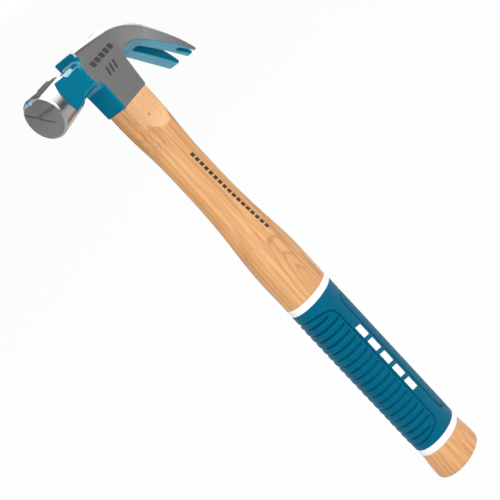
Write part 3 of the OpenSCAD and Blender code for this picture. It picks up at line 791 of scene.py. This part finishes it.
def head_material():
    g = Graph("head_steel")
    p = g.place()
    x, y, z = g.split(p)
    bare = g.steps(g.attribute("bare"), -0.03, 0.03)
    shine = g.attribute("shine")
    face = g.steps(g.attribute("face"), -0.05, 0.05)
    brush = g.noise(g.scaled(p, (0.9, 1, 0.12), turn=(0, 0.12, 0)), 9.0, 3.0, 0.65)
    cloud = g.noise(p, 0.12, 3.0, 0.55)
    satin = g.colour(brush, (0.27, 0.27, 0.272), (0.38, 0.38, 0.383))
    polished = g.colour(cloud, (0.33, 0.33, 0.33), (0.40, 0.40, 0.40))
    # The poll's top, round the magnet, is painted dark: painted shade standing in for the dark reflection
    # along it.
    painted_dark_top = g.mul(g.steps(z, 295.9, 296.5), g.steps(x, -25.5, -26.5))
    polished = g.colour(g.mul(painted_dark_top, 0.85), polished, (0.03, 0.03, 0.032))
    # Painted light: the ground face is made lighter towards its bottom.
    painted_light_low = g.steps(z, 298.0, 277.0)
    ground = g.mul_add(g.noise(p, 0.16, 2.0, 0.5), 0.6, g.mul(painted_light_low, 0.5))
    ground = g.colour(ground, (0.24, 0.24, 0.242), (0.52, 0.52, 0.522))
    # Painted reflections cross the ground face: a thin dark band, with a softer branch.
    bend = g.mul_add(g.noise(p, 0.25, 2.0, 0.5), 2.4, -1.2)
    slanted = g.add(g.sub(z, g.mul_add(y, 0.93, 286.2)), bend)
    level_z = g.add(g.sub(z, 289.0), bend)
    thin = g.mul(g.steps(g.abs(slanted), 0.9, 0.1), g.steps(y, -5.5, -3.0))
    soft = g.mul(g.steps(g.abs(level_z), 1.5, 0.1), g.steps(y, 3.5, 1.0))
    painted_dark_reflection = g.max(g.mul(thin, 0.75), g.mul(soft, 0.45))
    ground = g.colour(painted_dark_reflection, ground, INK)
    metal = g.colour(shine, satin, polished)
    metal = g.colour(face, metal, ground)
    # Plain slanted strokes stand in for the marks on the camera-side cheek.
    rows = [stroke_mask(g, g.sub(x, x0), g.sub(z, z0), *row) for x0, z0, *row in CHEEK_ROWS]
    marks = g.mul(g.max(*rows), g.less(y, NEAR_Y))
    metal = g.colour(g.mul(marks, 0.8), metal, INK)
    flow = g.noise(p, 0.35, 2.0, 0.5)
    paint = g.colour(flow, PAINT_DEEP, PAINT)
    rough = g.number(shine, g.mul_add(brush, 0.12, 0.38), 0.22)
    rough = g.number(face, rough, 0.36)
    rough = g.number(painted_dark_top, rough, 0.5)
    peel = g.bump(g.noise(p, 0.9, 2.0, 0.5), 0.03, 0.5)
    lines = g.bump(brush, 0.012, g.number(shine, 1.0, 0.05))
    # The lacquer mirrors the light table on faces that look up or down.
    tilted = g.steps(g.abs(g.split(g.node("ShaderNodeNewGeometry").outputs["Normal"])[2]), 0.12, 0.45)
    gloss = g.mul(tilted, g.number(bare, 0.95, 0.0))
    # Under the root of the claws it stays dark, as in the photo.
    away = g.max(g.steps(x, 6.0, 2.0), g.steps(x, 22.0, 38.0))
    gloss = g.mul(gloss, away)
    # Painted reflected light: the paint is made lighter towards the claws' tips, on the faces turned down.
    painted_lit_tips = g.mul(g.steps(x, 18.0, 34.0), tilted)
    paint = g.colour(painted_lit_tips, paint, PAINT_LIT)
    gloss = g.mul(gloss, g.sub(1.0, g.mul(painted_lit_tips, 0.3)))
    normal = g.node("ShaderNodeMix", data_type="VECTOR")
    g.put(normal.inputs["Factor"], bare)
    g.put(normal.inputs[4], peel)
    g.put(normal.inputs[5], lines)
    metallic = g.mul(bare, g.sub(1.0, painted_dark_top))
    return g.surface(Base_Color=g.colour(bare, paint, metal), Metallic=metallic,
                     Roughness=g.number(bare, 0.16, rough), Normal=normal.outputs[1],
                     Specular_IOR_Level=g.number(painted_dark_top, g.number(away, 0.04, 0.4), 0.02),
                     Specular_Tint=g.colour(bare, PAINT_SHEEN, (1, 1, 1)),
                     Coat_Weight=gloss, Coat_Roughness=0.04)


def wood_material(name, light, mid, dark, end=False):
    g = Graph(name)
    p = g.place()
    x, y, z = g.split(p)
    sway = g.noise(g.scaled(p, (1, 1, 0.25)), 0.03, 2.0, 0.5)
    # Growth rings: shells round a pith line well behind the handle, wandering along its length.
    wander = g.mul(g.sub(sway, 0.5), 16.0)
    rx = g.add(g.add(x, 24.0), wander)
    ry = g.add(g.sub(y, 46.0), g.mul(z, 0.018))
    radius = g.math("SQRT", g.add(g.mul(rx, rx), g.mul(ry, ry)))
    ring = g.math("FRACT", g.math("DIVIDE", radius, 2.6))
    late = g.mul(g.steps(ring, 0.35, 0.9), g.steps(ring, 1.0, 0.93))
    fibre = g.noise(g.scaled(p, (1.6, 1.6, 0.045)), 2.2, 4.0, 0.62)
    broad = g.noise(g.scaled(p, (1, 1, 0.06)), 0.22, 3.0, 0.55)
    stripe = g.noise(g.scaled(p, (1, 1, 0.018)), 0.5, 2.0, 0.5)
    tone = g.add(g.mul(late, 0.4), g.mul(g.sub(fibre, 0.35), 0.8))
    tone = g.add(tone, g.mul(g.sub(broad, 0.45), 1.2))
    tone = g.add(tone, g.mul(g.sub(stripe, 0.47), 1.9), clamp=True)
    base = g.colour(tone, light, mid)
    pores = g.noise(g.scaled(p, (4.5, 4.5, 0.11)), 1.6, 2.0, 0.6)
    pore = g.mul(g.steps(pores, 0.62, 0.74), g.mul_add(late, 0.6, 0.35))
    base = g.colour(g.mul(pore, 0.55), base, dark)
    if not end:
        # Shaved flats under the head cut across the fibres and look paler and grainy.
        grit = g.noise(p, 1.7, 3.0, 0.7)
        shaved = g.colour(g.steps(grit, 0.35, 0.65), (0.62, 0.34, 0.16), (0.86, 0.5, 0.25))
        base = g.colour(g.mul(g.attribute("facet"), 0.8), base, shaved)
        # Coarse dark fibres on the face side, next to the head.
        coarse = g.noise(g.scaled(p, (5, 5, 0.12)), 0.9, 3.0, 0.6)
        coarse = g.mul(g.steps(coarse, 0.42, 0.6), g.steps(x, -4.5, -8.0))
        coarse = g.mul(coarse, g.steps(z, 224.0, 242.0))
        coarse = g.mul(coarse, g.number(g.attribute("facet"), 0.6, 0.25))
        base = g.colour(coarse, base, dark)
        # Above the grip the rings are cut into nested arches, beside a dark mineral streak.
        front = g.less(y, 0.0)
        ax = g.math("DIVIDE", g.add(x, 3.4), 8.4)
        az = g.math("DIVIDE", g.sub(z, 132.0), 36.0)
        arch = g.math("SQRT", g.add(g.mul(ax, ax), g.mul(az, az)))
        wavy = g.mul_add(g.noise(g.scaled(p, (1, 1, 0.3)), 0.12, 2.0, 0.5), 1.3, g.mul(arch, 3.2))
        edge = g.abs(g.sub(g.math("FRACT", wavy), 0.5))
        figure = g.mul(g.steps(edge, 0.2, 0.03), g.steps(arch, 1.15, 0.95))
        base = g.colour(g.mul(g.mul(figure, front), 0.32), base, dark)
        vein = g.mul(g.steps(g.abs(g.sub(x, 5.6)), 0.8, 0.1), g.steps(g.abs(g.sub(z, 136.5)), 10.5, 6.5))
        base = g.colour(g.mul(g.mul(vein, front), 0.75), base, dark)
        # One pin knot on a flat.
        kx, kz = g.add(x, 2.5), g.sub(z, 251.1)
        apart = g.add(g.mul(kx, kx), g.mul(kz, kz))
        knot = g.mul(g.steps(apart, 0.9, 0.1), g.less(y, NEAR_Y))
        base = g.colour(g.mul(knot, 0.8), base, dark)
        # Plain strokes along the handle, turned slightly from its axis.
        turned = g.add(x, g.mul_add(z, 0.0523, -10.27))
        mark = stroke_mask(g, g.sub(z, HANDLE_ROW_Z), turned, *HANDLE_ROW)
        mark = g.mul(mark, g.less(y, NEAR_Y))
        base = g.colour(g.mul(mark, 0.98), base, (0.012, 0.012, 0.012))
    height = g.sub(g.mul(fibre, 0.4), pore)
    rough = g.mul_add(fibre, 0.12, 0.40)
    return g.surface(Base_Color=base, Roughness=rough, Normal=g.bump(height, 0.05, 0.35),
                     Coat_Weight=0.15, Coat_Roughness=0.3)


def rubber_material():
    g = Graph("grip_rubber")
    p = g.place()
    grain = g.noise(p, 3.2, 3.0, 0.6)
    cloud = g.noise(p, 0.08, 2.0, 0.5)
    base = g.colour(cloud, (0.0002, 0.096, 0.172), (0.0004, 0.112, 0.198))
    # Painted shade: the rubber is made darker in its grooves.
    base = g.colour(g.mul(g.attribute("dark"), 0.75), base, (0.0002, 0.035, 0.068))
    x, y, z = g.split(p)
    turn = g.mul(g.math("ARCTAN2", y, x), 14.2)
    one = g.math("SINE", g.mul(g.add(turn, z), 5.2))
    two = g.math("SINE", g.mul(g.sub(turn, z), 5.2))
    knurl = g.mul(g.max(one, two), g.attribute("knurl"))
    first = g.bump(grain, 0.02, 0.35)
    return g.surface(Base_Color=base, Roughness=g.mul_add(grain, 0.15, 0.42),
                     Normal=g.bump(knurl, 0.16, 0.8, first), Specular_IOR_Level=0.3,
                     Specular_Tint=(0.03, 0.5, 0.7))


def plastic_material():
    g = Graph("liner_plastic")
    p = g.place()
    grain = g.noise(p, 1.4, 3.0, 0.55)
    base = g.colour(grain, (0.86, 0.87, 0.87), (0.93, 0.935, 0.935))
    return g.surface(Base_Color=base, Roughness=g.mul_add(grain, 0.1, 0.34),
                     Normal=g.bump(grain, 0.02, 0.3))


def wedge_steel_material():
    g = Graph("wedge_steel")
    p = g.place()
    grain = g.noise(g.scaled(p, (1, 0.2, 1)), 3.0, 3.0, 0.6)
    base = g.colour(grain, (0.24, 0.24, 0.245), (0.42, 0.42, 0.425))
    return g.surface(Base_Color=base, Metallic=1.0, Roughness=g.mul_add(grain, 0.2, 0.35),
                     Normal=g.bump(grain, 0.02, 0.5))


def magnet_material():
    g = Graph("magnet_black")
    p = g.place()
    grain = g.noise(p, 2.4, 3.0, 0.6)
    base = g.colour(grain, (0.018, 0.018, 0.02), (0.045, 0.045, 0.048))
    return g.surface(Base_Color=base, Roughness=g.mul_add(grain, 0.2, 0.3),
                     Normal=g.bump(grain, 0.02, 0.4), Specular_IOR_Level=0.15)


# ---------------------------------------------------------------- assembly


def dress(obj, material, node):
    obj.data.materials.clear()
    obj.data.materials.append(material)
    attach(obj, "root")
    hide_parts(node)


dress(build_head(), head_material(), "head")
hickory = wood_material("hickory", (0.74, 0.385, 0.155), (0.53, 0.235, 0.078), (0.25, 0.095, 0.028))
dress(build_handle(), hickory, "handle")
dress(build_liner(), plastic_material(), "grip_liner")
dress(build_cover(), rubber_material(), "grip_cover")
dress(build_magnet(), magnet_material(), "starter_magnet")
wedge_steel = wedge_steel_material()
wedge_wood = wood_material("wedge_wood", (0.42, 0.22, 0.1), (0.3, 0.14, 0.06), (0.12, 0.05, 0.02), end=True)
for node, material, slot in (("wooden_wedge", wedge_wood, "wedge_wood"),
                             ("steel_wedge_front", wedge_steel, "wedge_steel"),
                             ("steel_wedge_rear", wedge_steel, "wedge_steel")):
    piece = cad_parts[node]
    piece.data.materials.clear()
    piece.data.materials.append(material)

# ---------------------------------------------------------------- stage, light and camera


def build_stage():
    """Pale floor: near white to the camera, softer in mirror-like reflections."""
    g = Graph("stage_white")
    g.surface(Base_Color=(0.93, 0.93, 0.93), Roughness=0.9)
    ray = g.node("ShaderNodeLightPath")
    glow = g.node("ShaderNodeEmission")
    far = g.node("ShaderNodeVectorMath", operation="LENGTH")
    g.put(far.inputs[0], g.node("ShaderNodeTexCoord").outputs["Object"])
    table = g.steps(far.outputs["Value"], 0.5, 0.95, 1.0, 0.16)
    g.put(glow.inputs["Strength"], g.number(ray.outputs["Is Glossy Ray"], 1.0, table))
    blend = g.node("ShaderNodeMixShader")
    seen = g.max(ray.outputs["Is Camera Ray"], ray.outputs["Is Glossy Ray"])
    g.put(blend.inputs[0], g.mul(seen, 0.92))
    g.put(blend.inputs[1], g.bsdf.outputs[0])
    g.put(blend.inputs[2], glow.outputs[0])
    g.put(g.output.inputs[0], blend.outputs[0])
    size = 9000.0
    verts = [(-size, -size, 0), (size, -size, 0), (size, size, 0), (-size, size, 0)]
    floor = add_mesh("floor", verts, [[0, 1, 2, 3]])
    floor.data.materials.append(g.material)


AZIMUTH, ELEVATION, ROLL = map(math.radians, (-45.883, 14.049, 43.124))


def camera_back():
    return Vector((math.sin(AZIMUTH) * math.cos(ELEVATION), -math.cos(AZIMUTH) * math.cos(ELEVATION),
                   math.sin(ELEVATION)))


def build_world():
    """White to the camera; to mirror-like surfaces bright above and dim below."""
    world = bpy.data.worlds.new("studio")
    world.use_nodes = True
    tree = world.node_tree
    tree.nodes.clear()

    def node(kind, **settings):
        made = tree.nodes.new(kind)
        for key, value in settings.items():
            setattr(made, key, value)
        return made

    out = node("ShaderNodeOutputWorld")
    seen, lit, mirrored = (node("ShaderNodeBackground") for _ in range(3))
    pick, glossy = node("ShaderNodeMixShader"), node("ShaderNodeMixShader")
    ray = node("ShaderNodeLightPath")
    way = node("ShaderNodeSeparateXYZ")
    ramp = node("ShaderNodeMapRange", clamp=True)
    ramp.interpolation_type = "SMOOTHSTEP"
    seen.inputs["Color"].default_value = (1, 1, 1, 1)
    lit.inputs["Color"].default_value = (0.96, 0.98, 1.0, 1)
    lit.inputs["Strength"].default_value = 0.6
    for socket, value in zip(ramp.inputs[1:5], (0.0, 0.35, 0.5, 3.0)):
        socket.default_value = value
    # Behind the object, as the camera looks at it, the room is dark.
    facing = node("ShaderNodeVectorMath", operation="DOT_PRODUCT")
    facing.inputs[1].default_value = [-v for v in camera_back()]
    dark = node("ShaderNodeMapRange", clamp=True)
    dark.interpolation_type = "SMOOTHSTEP"
    for socket, value in zip(dark.inputs[1:5], (0.9, 0.985, 1.0, 0.05)):
        socket.default_value = value
    both = node("ShaderNodeMath", operation="MULTIPLY")
    coords = node("ShaderNodeTexCoord")
    tree.links.new(coords.outputs["Generated"], way.inputs[0])
    tree.links.new(coords.outputs["Generated"], facing.inputs[0])
    tree.links.new(way.outputs["Z"], ramp.inputs[0])
    tree.links.new(facing.outputs["Value"], dark.inputs[0])
    tree.links.new(ramp.outputs[0], both.inputs[0])
    tree.links.new(dark.outputs[0], both.inputs[1])
    tree.links.new(both.outputs[0], mirrored.inputs["Strength"])
    tree.links.new(ray.outputs["Is Glossy Ray"], glossy.inputs[0])
    tree.links.new(lit.outputs[0], glossy.inputs[1])
    tree.links.new(mirrored.outputs[0], glossy.inputs[2])
    tree.links.new(ray.outputs["Is Camera Ray"], pick.inputs[0])
    tree.links.new(glossy.outputs[0], pick.inputs[1])
    tree.links.new(seen.outputs[0], pick.inputs[2])
    tree.links.new(pick.outputs[0], out.inputs[0])
    bpy.context.scene.world = world


def add_light(name, place, target, size, power):
    data = bpy.data.lights.new(name, "AREA")
    data.shape = "RECTANGLE"
    data.size, data.size_y = size[0] * MM, size[1] * MM
    data.energy = power
    obj = bpy.data.objects.new(name, data)
    obj.location = Vector(place) * MM
    aim = Vector(target) - Vector(place)
    obj.rotation_euler = aim.to_track_quat("-Z", "Y").to_euler()
    bpy.context.scene.collection.objects.link(obj)


def build_camera():
    back = camera_back()
    right = Vector((math.cos(AZIMUTH), math.sin(AZIMUTH), 0))
    up = back.cross(right)
    # The photograph is rolled, so the object's own upright leans to the left.
    turned_right = right * math.cos(ROLL) - up * math.sin(ROLL)
    turned_up = right * math.sin(ROLL) + up * math.cos(ROLL)
    target = Vector((-8.78, 0.0, 164.9))
    place = (target + back * 765.0) * MM
    data = bpy.data.cameras.new("camera")
    data.sensor_width = 36.0
    data.lens = 108.0
    data.clip_start, data.clip_end = 0.01, 100.0
    camera = bpy.data.objects.new("camera", data)
    axes = Matrix((turned_right, turned_up, back)).transposed()
    camera.matrix_world = Matrix.Translation(place) @ axes.to_4x4()
    bpy.context.scene.collection.objects.link(camera)
    bpy.context.scene.camera = camera


build_stage()
build_world()
add_light("key", (-600, -500, 1150), (0, 0, 200), (460, 320), 5.0)
add_light("front", (-500, -950, 420), (0, 0, 180), (900, 700), 4.5)
add_light("side", (900, -50, 950), (0, 0, 220), (700, 500), 2.5)
build_camera()
bpy.context.scene.view_settings.view_transform = "Standard"
